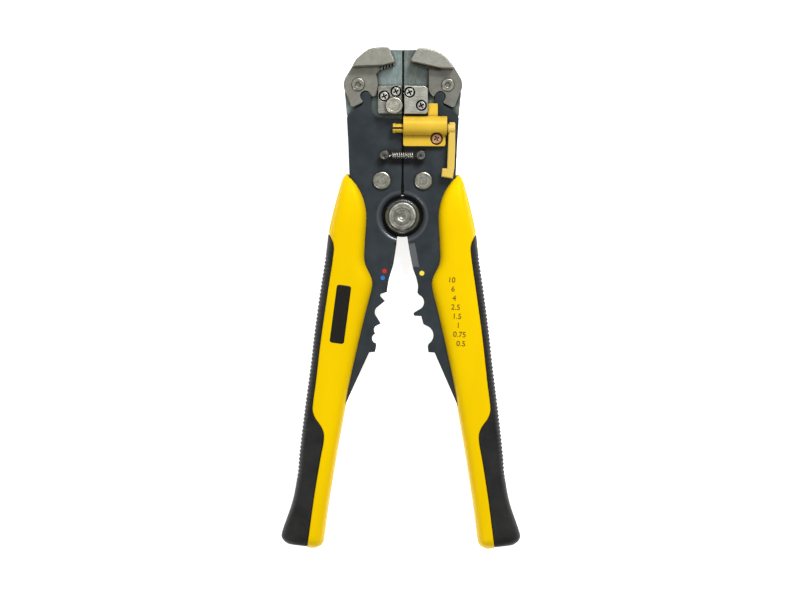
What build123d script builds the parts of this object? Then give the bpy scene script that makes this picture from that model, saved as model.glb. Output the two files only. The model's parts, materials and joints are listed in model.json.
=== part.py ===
"""Self-adjusting wire stripper, cutter and crimper, in millimetres.

The tool lies on its back. +Z points out of its front face, +Y towards the jaws, +X to the right.
The origin is on the main pivot's axis, at the surface that the tool lies on.

It is a sandwich of three layers. Two jaw bases in the middle turn on the main pivot. Each lever is a
front plate, a crimping die and a rear plate, and turns on a rivet through its jaw base. A knob on each
front plate drives the socket of an upper jaw, so that squeezing the handles first shuts the upper jaws
on the wire and then spreads the two halves of the head.

Outlines are given for one half as (u, v): u is the distance outwards from the seam, and v is along +Y.
"""

from build123d import *

import os

os.makedirs("parts", exist_ok=True)

LEFT, RIGHT = -1, 1
SIDE_NAME = {LEFT: "left", RIGHT: "right"}

# ---- driving dimensions ------------------------------------------------------------------------
grip_t = 17.0  # handle thickness; half of it is the middle plane
base_t = 4.0  # jaw bases
plate_t = 2.5  # front and rear lever plates
play = 0.05  # running clearance between layers and round pins
seam = 0.4  # half of the gap between the two halves

mid_z = grip_t / 2
base_z = (mid_z - base_t / 2, mid_z + base_t / 2)
front_z = (base_z[1] + play, base_z[1] + play + plate_t)
rear_z = (base_z[0] - play - plate_t, base_z[0] - play)
die_z = (rear_z[1], front_z[0])
face_z = front_z[1]  # front face of the lever plates and of the upper jaws' cheeks

pivot_r = 4.0
collar_r = 7.0
lap_r = 8.4  # half-lap discs of the jaw bases
lap_gap = 0.2
lip_reach = 0.9  # lip on the left base that closes the back of the seam
well_r = 8.3  # opening in the lever plates round the collar
well_round = 2.2
pivot_head_r = 5.9
collar_z = (base_z[1], 14.4)
pivot_head_top = 16.6
nut_flats = 13.0
nut_top = 3.9

lever_rivet = (8.45, 14.55)
lever_rivet_r = 2.5
lever_rivet_head_r = 3.75
lever_rivet_head_t = 1.2

jaw_pin = (18.3, 53.7)
jaw_pin_r = 1.9
jaw_pin_head_r = 2.6
jaw_pin_head_t = 0.75
jaw_pin_bore_r = 1.1

knob = (15.1, 48.75)
knob_r = 1.95
socket_r = 2.15
socket_centre = (15.295, 49.05)

head_top = 68.1
beak_top = 18.3  # front of the upper jaws' raised noses
block_top = 17.5  # front of the lower jaw blocks
block_v = (41.6, 53.15)
block_u = {LEFT: (seam, 10.15), RIGHT: (seam, 10.15)}
block_corner_r = {LEFT: 0.8, RIGHT: 2.0}

jaw_screws = {LEFT: [(7.6, 48.8), (2.85, 50.7)], RIGHT: [(2.7, 50.4), (7.5, 45.05)]}
screw_head_r = 1.8
screw_well_r = 2.25
screw_shank_r = 1.3
screw_well_depth = 2.0
screw_head_sink = 0.3

adjuster = (3.55, 45.0)
adjuster_r = 3.45
adjuster_shank_r = 1.8

tang_rivets = [(22.0, -38.0), (27.0, -70.0)]
tang_rivet_r = 2.0

spring_post = (7.45, 24.8)
post_head_r = 2.05
post_neck_r = 1.1
spring_z = 15.7
coil_r = 1.45
coil_half_length = 4.5
loop_r = 2.0  # centre line of the spring's end loops
wire_r = 0.3

stop_y, stop_z = 35.8, 16.1  # axis of the wire stop's rod
stop_rod_r = 1.8
stop_barb_r = 2.05
stop_stub_r = 0.9
stop_rod_x = (-4.1, 18.2)
holder_x = (0.2, 18.0)
barrel_y = (33.0, 40.8)
flange_foot = 28.6
stop_screw = (13.8, 31.65)
stop_screw_r = 1.3


# ---- helpers -----------------------------------------------------------------------------------
def at(side, point):
    return (side * point[0], point[1])


def trace(side, start, steps):
    """Draws a line to each point, or an arc through the first to the second of a pair, and closes."""
    here = at(side, start)
    for step in steps:
        if isinstance(step[0], tuple):
            through, end = at(side, step[0]), at(side, step[1])
            ThreePointArc(here, through, end)
        else:
            end = at(side, step)
            Line(here, end)
        here = end
    if here != at(side, start):
        Line(here, at(side, start))


def slab(side, z, start, steps, mode=Mode.ADD):
    """Extrudes a traced outline from z[0] to z[1] in the part being built."""
    with BuildSketch(Plane.XY.offset(z[0])) as outline:
        with BuildLine():
            trace(side, start, steps)
        make_face()
    extrude(outline.sketch, amount=z[1] - z[0], mode=mode)


def rod(point, radius, z, mode=Mode.ADD):
    """A cylinder along Z from z[0] to z[1]."""
    with BuildSketch(Plane.XY.offset(z[0])) as disc:
        with Locations(point):
            Circle(radius)
    extrude(disc.sketch, amount=z[1] - z[0], mode=mode)


def hole(point, radius, z):
    rod(point, radius, (z[0] - 1, z[1] + 1), Mode.SUBTRACT)


def cross_recess(point, top, size=1.2, depth=0.7):
    """A cross-head recess in a screw's face."""
    with BuildSketch(Plane.XY.offset(top)) as cross:
        with Locations(point):
            Rectangle(2 * size, 0.6, rotation=25)
            Rectangle(0.6, 2 * size, rotation=25)
    extrude(cross.sketch, amount=-depth, mode=Mode.SUBTRACT)


def top_edges(part):
    return part.faces().filter_by(Axis.Z).sort_by(Axis.Z)[-1].edges()


def save(part, name):
    part.label = name
    export_step(part, f"parts/{name}.step")


# ---- head --------------------------------------------------------------------------------------
base_steps = [
    (seam, head_top),
    (5.5, head_top),
    (13.8, 66.2),
    (19.8, 61.6),
    (23.2, 55.6),
    ((23.7, 52.0), (23.5, 48.0)),
    (22.9, 41.4),
    (20.4, 36.5),
    (19.6, 14.0),
    ((15.6, 1.0), (8.6, -6.0)),
    (5.6, -4.0),
]


def jaw_base(side):
    """A base plate with a half-thickness disc that laps the other base's on the main pivot."""
    in_front = side == LEFT
    lap_z = (mid_z, base_z[1]) if in_front else (base_z[0], mid_z - play)
    open_z = (base_z[0], mid_z) if in_front else (mid_z - play, base_z[1])
    lip_z = (base_z[0], mid_z - play)
    with BuildPart() as base:
        slab(side, base_z, (seam, 0.0), base_steps)
        rod((0, 0), lap_r, lap_z)
        rod((0, 0), lap_r + lap_gap, open_z, Mode.SUBTRACT)
        foot = lap_r + 2 * lap_gap
        if side == LEFT:
            slab(RIGHT, lip_z, (-seam, foot), [(lip_reach, foot), (lip_reach, head_top), (-seam, head_top)])
        else:
            reach = lip_reach + 2 * play
            rebate = [(reach, foot - lap_gap), (reach, head_top + 1), (0.0, head_top + 1)]
            slab(RIGHT, (base_z[0], mid_z), (0.0, foot - lap_gap), rebate, Mode.SUBTRACT)
        hole((0, 0), pivot_r if in_front else pivot_r + play, base_z)
        hole(at(side, lever_rivet), lever_rivet_r, base_z)
        hole(at(side, jaw_pin), jaw_pin_r, base_z)
        for point in jaw_screws[side]:
            hole(at(side, point), screw_shank_r, base_z)
        if side == LEFT:
            hole(at(side, adjuster), adjuster_shank_r + play, base_z)
    save(base.part, f"{SIDE_NAME[side]}_jaw_base")


def lower_jaw(side):
    """A block screwed to the jaw base, whose top edge is the floor of the wire mouth."""
    (inner, outer), (foot, top), r = block_u[side], block_v, block_corner_r[side]
    z = (base_z[1], block_top)
    bend = r * (1 - 0.70711)
    with BuildPart() as block:
        slab(
            side,
            z,
            (inner, foot),
            [
                (outer - 0.8, foot),
                (outer, foot + 0.8),
                (outer, top - r),
                ((outer - bend, top - bend), (outer - r, top)),
                (inner, top),
            ],
        )
        chamfer(top_edges(block), 0.25)
        for point in jaw_screws[side]:
            hole(at(side, point), screw_shank_r, z)
            rod(at(side, point), screw_well_r, (block_top - screw_well_depth, block_top + 1), Mode.SUBTRACT)
        if side == LEFT:
            hole(at(side, adjuster), adjuster_shank_r + play, z)
    save(block.part, f"{SIDE_NAME[side]}_lower_jaw")


def jaw_screw_pair(side):
    seat = block_top - screw_well_depth
    top = block_top - screw_head_sink
    with BuildPart() as screws:
        for point in jaw_screws[side]:
            place = at(side, point)
            rod(place, screw_head_r, (seat, top))
            rod(place, screw_shank_r, (base_z[0], seat))
        chamfer(screws.faces().filter_by(Axis.Z).group_by(Axis.Z)[-1].edges(), 0.25)
        for point in jaw_screws[side]:
            cross_recess(at(side, point), top)
    save(screws.part, f"{SIDE_NAME[side]}_jaw_screws")


# ---- levers ------------------------------------------------------------------------------------
well_foot = (1.95, -8.0677)  # where the well opens into the gap between the handles
well_head = (0.8, 8.2614)

# Inner edge of each lever from below the well to the grip: cutter, crimping nests and end slope.
inner_edge = {
    LEFT: [
        (2.2, -9.0),
        (2.35, -11.2),
        (2.9, -15.0),
        (3.6, -19.6),
        (5.4, -25.6),
        (5.9, -28.6),
        (6.2, -31.0),
        (8.4, -31.6),
        ((8.9, -32.3), (8.5, -33.0)),
        (6.9, -34.6),
        (9.8, -36.9),
        ((11.1, -39.0), (10.3, -41.1)),
        (8.6, -43.8),
        (10.9, -45.0),
        ((11.4, -46.1), (10.9, -48.0)),
        ((12.2, -50.0), (10.5, -51.9)),
        (10.4, -53.0),
        (10.9, -55.4),
        (13.3, -55.6),
        (23.4, -78.0),
    ],
    RIGHT: [
        (2.15, -9.0),
        (2.45, -11.0),
        (3.1, -14.8),
        (4.4, -21.2),
        (5.8, -25.0),
        (6.5, -28.0),
        (6.5, -29.2),
        (6.3, -31.2),
        (7.0, -32.1),
        ((9.0, -35.0), (7.6, -37.7)),
        (5.2, -39.1),
        ((4.75, -39.9), (5.3, -40.6)),
        (7.9, -40.7),
        (8.5, -43.0),
        (8.8, -44.0),
        (10.9, -45.1),
        ((12.9, -48.6), (11.0, -52.0)),
        (10.6, -53.0),
        (10.9, -55.4),
        (13.4, -55.6),
        (23.3, -78.0),
    ],
}
tang = [(26.2, -84.0), (30.0, -104.6), ((31.4, -106.3), (32.3, -104.0)), (30.3, -89.0), (31.8, -76.0)]
outer_edge = [
    (30.2, -45.0),
    (26.4, -14.5),
    (24.8, 0.0),
    (21.6, 12.0),
    (21.75, 18.0),
    (22.2, 29.0),
    (22.85, 40.0),
]
shoulder = [((22.1, 41.7), (20.6, 42.9)), (16.8, 45.2)]
# Ends of the wire cutter's ground flank along the inner edge, and its width.
cutter = {
    LEFT: (((2.35, -11.2), (3.6, -19.6)), 0.9),
    RIGHT: (((2.45, -11.0), (4.4, -21.2)), 2.6),
}
driving_knob = [
    (16.15, 46.4),
    (16.3, 47.2),
    ((15.1, 50.7), (13.15, 48.75)),
    (13.05, 44.4),
    ((12.2, 41.4), (9.6, 39.9)),
]
plain_top = [(13.05, 43.4), (9.6, 39.9)]


def lever_plate(side, z, top, outer_face, name):
    """A front or rear lever plate, with the edge of its well rounded on the outer face."""
    with BuildPart() as plate:
        slab(
            side,
            z,
            well_foot,
            [
                *inner_edge[side],
                *tang,
                *outer_edge,
                *shoulder,
                *top,
                (seam, 39.6),
                (seam, 15.0),
                well_head,
                ((well_r, 0.0), well_foot),
            ],
        )
        arcs = plate.edges().filter_by(GeomType.CIRCLE)
        rim = arcs.filter_by(lambda arc: abs(arc.radius - well_r) < 0.02)
        fillet(rim.filter_by(lambda arc: abs(arc.center().Z - outer_face) < 0.01), well_round)
        if z == front_z:
            ground_edge(side)
        hole(at(side, lever_rivet), lever_rivet_r + play, z)
        for point in tang_rivets:
            hole(at(side, point), tang_rivet_r, z)
        if z == front_z:
            hole(at(side, spring_post), post_neck_r, z)
        if z == front_z and side == RIGHT:
            hole(stop_screw, stop_screw_r, z)
    save(plate.part, f"{SIDE_NAME[side]}_{name}")


def ground_edge(side):
    """The sloping flank of the wire cutter, ground into the inner edge of a front plate."""
    (top, foot), width = cutter[side]
    start, end = Vector(*at(side, top)), Vector(*at(side, foot))
    along = (end - start).normalized()
    outwards = Vector(-along.Y, along.X) * side
    slope = Plane(origin=(start.X, start.Y, face_z), x_dir=outwards, z_dir=along)
    rise = slope.y_dir.Z
    with BuildSketch(slope) as wedge:
        with BuildLine():
            Polyline((-1, 0), (width, 0), (0, -1.3 * rise), (-1, -1.3 * rise), close=True)
        make_face()
    extrude(wedge.sketch, amount=(end - start).length, mode=Mode.SUBTRACT)


def crimping_die(side):
    """The middle layer of a lever, from below the jaw base to the end of the tang."""
    with BuildPart() as die:
        slab(
            side,
            die_z,
            (2.8, -13.2),
            [*inner_edge[side][2:], *tang, *outer_edge[:2], (13.0, -13.0)],
        )
        for point in tang_rivets:
            hole(at(side, point), tang_rivet_r, die_z)
    save(die.part, f"{SIDE_NAME[side]}_crimping_die")


def tang_rivet_pair(side):
    with BuildPart() as rivets:
        for point in tang_rivets:
            rod(at(side, point), tang_rivet_r, (rear_z[0], front_z[1]))
    save(rivets.part, f"{SIDE_NAME[side]}_tang_rivets")


def lever_rivet_pin(side):
    """The rivet that a lever turns on, held in the jaw base, with a head over each lever plate."""
    place = at(side, lever_rivet)
    foot, top = rear_z[0] - play, front_z[1] + play
    with BuildPart() as rivet:
        rod(place, lever_rivet_r, (foot, top))
        rod(place, lever_rivet_head_r, (top, top + lever_rivet_head_t))
        rod(place, lever_rivet_head_r, (foot - lever_rivet_head_t, foot))
        ends = rivet.faces().filter_by(Axis.Z).sort_by(Axis.Z)
        fillet(ends[-1].edges() + ends[0].edges(), 0.7)
    save(rivet.part, f"{SIDE_NAME[side]}_lever_rivet")


# ---- upper jaws --------------------------------------------------------------------------------
# From the socket's inner lip round the socket and the heel to the outside of the nose.
heel = [
    (13.49, 50.22),
    ((16.45, 50.86), (17.10, 47.88)),
    (16.39, 46.79),
    (16.9, 46.2),
    (19.6, 44.9),
    ((20.9, 44.75), (21.6, 45.9)),
    (23.3, 50.4),
    ((24.2, 54.3), (23.5, 56.6)),
    (20.3, 61.9),
]
socket_lip = (12.67, 48.96)
cheek = {
    LEFT: [(8.3, 61.0), (11.0, 57.9), ((10.3, 54.0), (10.7, 50.4)), ((11.2, 49.2), (12.0, 48.8))],
    RIGHT: [(10.5, 61.5), (10.5, 52.0), ((11.0, 50.4), (12.3, 49.0))],
}
nose = {
    LEFT: [
        (20.3, 60.73),
        (8.0, 61.22),
        (3.7, 62.32),
        (3.4, 63.11),
        (4.8, 66.19),
        (5.4, 67.88),
        ((5.8, 68.58), (6.8, 68.78)),
        ((10.5, 68.68), (14.0, 67.98)),
        (16.2, 66.49),
        (19.2, 63.81),
        (20.5, 61.62),
    ],
    RIGHT: [
        (20.4, 60.13),
        (15.5, 60.23),
        (3.6, 62.81),
        (3.2, 63.71),
        (5.5, 67.59),
        ((5.9, 68.18), (6.6, 68.38)),
        ((11.0, 68.13), (15.5, 66.39)),
        ((18.5, 63.81), (20.7, 60.83)),
    ],
}
# The left jaw's gripping edge: a step under the nose with slots through it.
grip_edge = [(8.5, 61.52), (9.1, 59.53), (3.0, 61.82), (3.9, 63.31)]
grip_edge_top = 16.4
slots = 5
slot_w = 0.62
blade_t = 1.4
blade_z = (13.6, 13.6 + blade_t)
blade = [(4.1, 62.12), (10.4, 60.33), (15.2, 59.53), (15.2, 61.72), (6.0, 63.91)]


def upper_jaw(side):
    """An upper jaw: a flat cheek with a pin hole and a socket, and a raised nose over the mouth."""
    with BuildPart() as jaw:
        if side == LEFT:
            gripping_edge(side)
        slab(side, (front_z[0], beak_top), nose[side][0], nose[side][1:])
        chamfer(top_edges(jaw), 0.4)
        slab(side, front_z, socket_lip, [*heel, *cheek[side]])
        hole(at(side, jaw_pin), jaw_pin_r + play, front_z)
        if side == RIGHT:
            slab(side, blade_z, blade[0], blade[1:], Mode.SUBTRACT)
    save(jaw.part, f"{SIDE_NAME[side]}_upper_jaw")


def gripping_edge(side):
    """The toothed step under the nose of the jaw that holds the insulation."""
    slab(side, (front_z[0], grip_edge_top), grip_edge[0], grip_edge[1:])
    start, end = Vector(*at(side, grip_edge[1])), Vector(*at(side, grip_edge[2]))
    pitch = (end - start).length / slots
    lean = Vector(0.26 * side, -1.0).normalized()
    across = Vector(-lean.Y, lean.X) * (slot_w / 2)
    for number in range(slots):
        foot = start + (end - start).normalized() * (pitch * (number + 0.78)) + lean * 0.6
        head = foot - lean * 2.2
        corners = [(p.X, p.Y) for p in (foot - across, foot + across, head + across, head - across)]
        slab(RIGHT, (front_z[0], grip_edge_top), corners[0], corners[1:], Mode.SUBTRACT)


def cutting_blade():
    with BuildPart() as strip:
        slab(RIGHT, blade_z, blade[0], blade[1:])
    save(strip.part, "cutting_blade")


def jaw_rivet(side):
    """The rivet that an upper jaw turns on, held in the jaw base, with a dimple in its head."""
    place = at(side, jaw_pin)
    top = face_z + play
    with BuildPart() as rivet:
        rod(place, jaw_pin_r, (base_z[0], top))
        rod(place, jaw_pin_head_r, (top, top + jaw_pin_head_t))
        fillet(top_edges(rivet), 0.35)
        rod(place, jaw_pin_head_r, (base_z[0] - jaw_pin_head_t, base_z[0]))
        rod(place, jaw_pin_bore_r, (top - 0.4, top + 1), Mode.SUBTRACT)
    save(rivet.part, f"{SIDE_NAME[side]}_jaw_rivet")


# ---- main pivot and adjuster -------------------------------------------------------------------
def main_pivot():
    with BuildPart() as bolt:
        rod((0, 0), pivot_r, (0, collar_z[1]))
        rod((0, 0), pivot_head_r, (collar_z[1], pivot_head_top))
        fillet(top_edges(bolt), 0.9)
        with Locations((0, 0, pivot_head_top)):
            Cone(0.5, 2.4, 0.4, align=(Align.CENTER, Align.CENTER, Align.MAX), mode=Mode.SUBTRACT)
    save(bolt.part, "pivot_bolt")

    with BuildPart() as front_collar:
        rod((0, 0), collar_r, collar_z)
        chamfer(top_edges(front_collar), 0.5)
        hole((0, 0), pivot_r, collar_z)
    save(front_collar.part, "front_collar")

    rear_collar_z = (nut_top, base_z[0] - play)
    with BuildPart() as rear_collar:
        rod((0, 0), collar_r, rear_collar_z)
        hole((0, 0), pivot_r, rear_collar_z)
    save(rear_collar.part, "rear_collar")

    with BuildPart() as nut:
        with BuildSketch():
            RegularPolygon(nut_flats / 2, 6, major_radius=False)
        extrude(amount=nut_top)
        hole((0, 0), pivot_r, (0, nut_top))
    save(nut.part, "pivot_nut")


def adjusting_knob():
    """A thumb knob with fine ribs, on a screw through the left lower jaw and its base."""
    place = at(LEFT, adjuster)
    top = block_top + 0.1 + 1.9
    with BuildPart() as thumb:
        rod(place, adjuster_shank_r, (base_z[0] + 0.4, block_top + 0.1))
        rod(place, adjuster_r, (block_top + 0.1, top))
        chamfer(top_edges(thumb), 0.3)
        with BuildSketch(Plane.XY.offset(block_top)):
            with Locations(place):
                with PolarLocations(adjuster_r + 0.12, 24):
                    Circle(0.26)
        extrude(amount=3, mode=Mode.SUBTRACT)
        with BuildSketch(Plane.XY.offset(top)):
            with Locations(place):
                Circle(2.3)
        extrude(amount=-0.25, mode=Mode.SUBTRACT)
    save(thumb.part, "adjusting_knob")


# ---- grips -------------------------------------------------------------------------------------
# Sections of a handle across Y: v, inner u, outer u, back z, front z, corner radius.
grip_sections = [
    (17.2, 21.9, 23.4, 5.0, 12.4, 0.7),
    (15.0, 20.2, 24.8, 3.2, 13.6, 2.0),
    (11.5, 17.8, 25.8, 1.4, 15.0, 3.2),
    (5.5, 15.25, 27.4, 0.3, 16.3, 4.8),
    (-2.0, 14.5, 29.2, 0.0, 17.0, 5.2),
    (-9.5, 14.9, 30.5, 0.0, 17.0, 5.4),
    (-18.0, 15.2, 31.7, 0.0, 17.0, 5.4),
    (-22.0, 13.7, 32.2, 0.0, 17.0, 5.4),
    (-27.5, 11.7, 33.1, 0.0, 17.0, 5.4),
    (-35.0, 13.3, 34.15, 0.0, 17.0, 5.4),
    (-55.0, 18.1, 36.7, 0.0, 17.0, 5.4),
    (-77.0, 22.6, 39.35, 0.0, 17.0, 5.4),
    (-102.0, 26.95, 42.1, 0.0, 17.0, 5.4),
    (-112.0, 28.6, 43.45, 0.0, 17.0, 5.4),
    (-120.0, 29.75, 45.5, 0.0, 17.0, 5.4),
    (-129.0, 30.95, 48.4, 0.0, 17.0, 5.4),
    (-131.2, 31.25, 48.65, 0.1, 16.9, 5.4),
    (-133.2, 31.8, 47.5, 0.6, 16.4, 5.0),
    (-134.7, 32.5, 44.5, 1.6, 15.4, 4.4),
    (-135.8, 33.8, 39.0, 3.2, 13.8, 2.4),
]
# Edge of the soft insert, from the outside of the handle down to its end.
insert_edge = [
    ((28.3, -10.4), (28.0, -15.0)),
    (33.55, -55.0),
    (36.2, -77.5),
    ((35.75, -81.5), (33.5, -84.7)),
    ((31.75, -88.6), (31.75, -92.0)),
    (34.8, -110.0),
    (38.9, -141.0),
]


def grip_body(side):
    """The outside of a handle, lofted through rounded sections across its length."""
    sections = []
    for v, inner, outer, back, front, corner in grip_sections:
        with BuildSketch(Plane.XZ.offset(-v)) as section:
            with Locations((side * (inner + outer) / 2, (back + front) / 2)):
                RectangleRounded(outer - inner, front - back, corner)
        sections.append(section.sketch)
    loft(sections, ruled=True)


def insert_region(side, mode):
    """The outer part of a handle, between the insert's edge and the outside."""
    slab(side, (-1, grip_t + 1), (31.6, -4.8), [*insert_edge, (60.0, -141.0), (60.0, -4.8)], mode)


def handle(side):
    """The hard shell of a handle, with a pocket for the tang, and the soft insert along its outside."""
    with BuildPart() as grip:
        grip_body(side)
        insert_region(side, Mode.SUBTRACT)
        slab(
            side,
            (rear_z[0], front_z[1]),
            inner_edge[side][3],
            [*inner_edge[side][-2:], *tang, *outer_edge, (10.0, 39.6)],
            Mode.SUBTRACT,
        )
    save(grip.part, f"{SIDE_NAME[side]}_grip")

    with BuildPart() as insert:
        grip_body(side)
        insert_region(side, Mode.INTERSECT)
    save(insert.part, f"{SIDE_NAME[side]}_grip_insert")


# ---- spring ------------------------------------------------------------------------------------
def post(side):
    """A headed post on the front lever plate that one end of the return spring hooks over."""
    place = at(side, spring_post)
    with BuildPart() as pin:
        rod(place, post_neck_r, (front_z[0], 16.3))
        rod(place, post_head_r, (16.3, 17.3))
        chamfer(top_edges(pin), 0.3)
        rod(place, 1.1, (16.9, 17.4), Mode.SUBTRACT)
    save(pin.part, f"{SIDE_NAME[side]}_spring_post")


def return_spring():
    """The outer shape of the close-wound coil, with a loop at each end."""
    with BuildPart() as spring:
        with BuildSketch(Plane.YZ.offset(-coil_half_length)):
            with Locations((spring_post[1], spring_z)):
                Circle(coil_r)
                Circle(coil_r - 2 * wire_r, mode=Mode.SUBTRACT)
        extrude(amount=2 * coil_half_length)
        for side in (LEFT, RIGHT):
            with BuildSketch(Plane.XY.offset(spring_z - wire_r)):
                with Locations(at(side, spring_post)):
                    Circle(loop_r + wire_r)
                    Circle(loop_r - wire_r, mode=Mode.SUBTRACT)
            extrude(amount=2 * wire_r)
            with BuildSketch(Plane.YZ.offset(side * coil_half_length)):
                with Locations((spring_post[1], spring_z)):
                    Rectangle(2 * coil_r - 0.3, 2 * wire_r)
            extrude(amount=side * 1.3)
    save(spring.part, "return_spring")


# ---- wire stop ---------------------------------------------------------------------------------
def stop_holder():
    """A barrel for the stop's rod, with a flange screwed to the right front plate and a tab."""
    with BuildPart() as holder:
        with BuildSketch(Plane.YZ.offset(holder_x[0])):
            with BuildLine():
                Line((barrel_y[0], face_z), (barrel_y[0], 15.6))
                ThreePointArc((barrel_y[0], 15.6), (36.9, 19.4), (barrel_y[1], 15.6))
                Line((barrel_y[1], 15.6), (barrel_y[1], face_z))
                Line((barrel_y[1], face_z), (barrel_y[0], face_z))
            make_face()
        extrude(amount=holder_x[1] - holder_x[0])
        with BuildSketch(Plane.XY.offset(face_z)):
            with Locations(((holder_x[0] + 17.4) / 2, (flange_foot + barrel_y[0] + 2) / 2)):
                RectangleRounded(17.4 - holder_x[0], barrel_y[0] + 2 - flange_foot, 0.8)
        extrude(amount=2.2)
        with BuildSketch(Plane.XY.offset(face_z + 0.3)):
            with Locations((12.25, 43.0)):
                RectangleRounded(3.9, 6.0, 0.5)
        extrude(amount=2.1)
        with BuildSketch(Plane.YZ.offset(holder_x[0] - 1)):
            with Locations((stop_y, stop_z)):
                Circle(stop_rod_r + play)
        extrude(amount=holder_x[1] - holder_x[0] + 2, mode=Mode.SUBTRACT)
        hole(stop_screw, stop_screw_r, (face_z, face_z + 2.2))
        rod(stop_screw, 2.6, (face_z + 1.2, 20.0), Mode.SUBTRACT)
    save(holder.part, "stop_holder")

    with BuildPart() as screw:
        rod(stop_screw, stop_screw_r, (front_z[0], face_z + 1.2))
        rod(stop_screw, 2.1, (face_z + 1.2, face_z + 2.4))
        chamfer(top_edges(screw), 0.3)
        cross_recess(stop_screw, face_z + 2.4)
    save(screw.part, "stop_screw")


def wire_stop():
    """A split rod with barbed prongs that slides in the barrel, and an arm that turns on its end."""
    with BuildPart() as slide:
        with BuildSketch(Plane.YZ.offset(stop_rod_x[0])):
            with Locations((stop_y, stop_z)):
                Circle(stop_rod_r)
        extrude(amount=stop_rod_x[1] - stop_rod_x[0])
        with BuildSketch(Plane.YZ.offset(stop_rod_x[0])):
            with Locations((stop_y, stop_z)):
                Circle(stop_barb_r)
        extrude(amount=1.1)
        chamfer(slide.faces().sort_by(Axis.X)[0].edges(), 0.3)
        with BuildSketch(Plane.XY.offset(stop_z - 3)):
            with Locations((-2.0, stop_y)):
                Rectangle(6.0, 0.8)
        extrude(amount=6, mode=Mode.SUBTRACT)
        with BuildSketch(Plane.YZ.offset(stop_rod_x[1])):
            with Locations((stop_y, stop_z)):
                Circle(stop_stub_r)
        extrude(amount=2.2)
    save(slide.part, "stop_rod")

    with BuildPart() as arm:
        with BuildSketch(Plane.XY.offset(stop_z - 1.2)):
            with BuildLine():
                Polyline(
                    (18.75, 37.8),
                    (19.05, 38.3),
                    (21.0, 38.3),
                    (21.35, 37.8),
                    (21.35, 27.3),
                    (21.1, 20.0),
                    (20.4, 15.4),
                    (15.8, 16.1),
                    (16.1, 19.5),
                    (18.1, 19.5),
                    close=True,
                )
            make_face()
        extrude(amount=2.4)
        chamfer(arm.faces().filter_by(Axis.Z).edges(), 0.35)
        with BuildSketch(Plane.YZ.offset(18.3)):
            with Locations((stop_y, stop_z)):
                Circle(2.0)
        extrude(amount=2.9)
        with BuildSketch(Plane.YZ.offset(18.0)):
            with Locations((stop_y, stop_z)):
                Circle(stop_stub_r + play)
        extrude(amount=2.6, mode=Mode.SUBTRACT)
    save(arm.part, "stop_arm")


# ---- marks -------------------------------------------------------------------------------------
mark_t = 0.15
label = [(26.5, -27.8), (20.6, -28.6), (23.5, -52.4), (29.5, -51.6)]


def colour_mark(name, point, radius):
    """A spot of paint in a dimple of a lever's front face."""
    with BuildPart() as spot:
        rod(point, radius, (face_z, face_z + mark_t))
    save(spot.part, name)


def marks():
    colour_mark("red_mark", (-7.2, -22.4), 0.9)
    colour_mark("blue_mark", (-7.9, -25.2), 0.9)
    colour_mark("yellow_mark", (8.05, -23.2), 1.0)
    with BuildPart() as panel:
        slab(LEFT, (grip_t, grip_t + mark_t), label[0], label[1:])
    save(panel.part, "label_panel")


for half in (LEFT, RIGHT):
    jaw_base(half)
    lower_jaw(half)
    jaw_screw_pair(half)
    upper_jaw(half)
    jaw_rivet(half)
    lever_plate(half, front_z, driving_knob, front_z[1], "front_plate")
    lever_plate(half, rear_z, plain_top, rear_z[0], "rear_plate")
    crimping_die(half)
    tang_rivet_pair(half)
    lever_rivet_pin(half)
    handle(half)
    post(half)
main_pivot()
adjusting_knob()
cutting_blade()
return_spring()
stop_holder()
wire_stop()
marks()
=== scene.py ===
"""Looks for the self-adjusting wire stripper: materials, moulded handles, coil spring, light and camera.

Lengths are in millimetres in the tables and are scaled to metres where a mesh is made. For the two
handles, u is the distance outwards from the seam between the halves, and v is along +Y.
"""

import json
import math

import bmesh
import bpy
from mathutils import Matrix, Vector


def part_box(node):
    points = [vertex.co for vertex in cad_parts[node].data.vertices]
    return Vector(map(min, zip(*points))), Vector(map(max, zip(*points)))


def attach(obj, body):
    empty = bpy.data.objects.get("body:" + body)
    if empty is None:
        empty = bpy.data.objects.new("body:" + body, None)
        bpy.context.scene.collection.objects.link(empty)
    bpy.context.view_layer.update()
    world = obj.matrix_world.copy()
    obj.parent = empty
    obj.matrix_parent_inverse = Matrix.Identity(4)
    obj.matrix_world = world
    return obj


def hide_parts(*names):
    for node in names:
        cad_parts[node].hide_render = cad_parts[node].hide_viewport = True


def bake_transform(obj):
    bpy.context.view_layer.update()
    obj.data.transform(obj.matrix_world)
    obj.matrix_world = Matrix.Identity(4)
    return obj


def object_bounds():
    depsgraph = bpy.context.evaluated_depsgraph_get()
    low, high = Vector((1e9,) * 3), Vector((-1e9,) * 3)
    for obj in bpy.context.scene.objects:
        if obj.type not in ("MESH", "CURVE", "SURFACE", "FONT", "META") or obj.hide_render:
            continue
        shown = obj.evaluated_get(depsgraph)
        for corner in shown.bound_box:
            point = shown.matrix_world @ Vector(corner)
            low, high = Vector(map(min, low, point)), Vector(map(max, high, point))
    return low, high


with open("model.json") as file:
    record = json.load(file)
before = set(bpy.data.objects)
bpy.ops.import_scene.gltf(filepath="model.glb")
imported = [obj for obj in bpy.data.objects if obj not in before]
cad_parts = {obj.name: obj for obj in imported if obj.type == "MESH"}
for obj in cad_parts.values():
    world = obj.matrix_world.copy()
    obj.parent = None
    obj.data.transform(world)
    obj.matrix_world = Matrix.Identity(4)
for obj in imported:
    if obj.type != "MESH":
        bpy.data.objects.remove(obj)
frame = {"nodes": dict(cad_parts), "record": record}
cad_low, cad_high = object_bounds()

MM = 0.001
SIDES = {"left": -1, "right": 1}
MAP_ENDS = ("From Min", "From Max", "To Min", "To Max")


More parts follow.
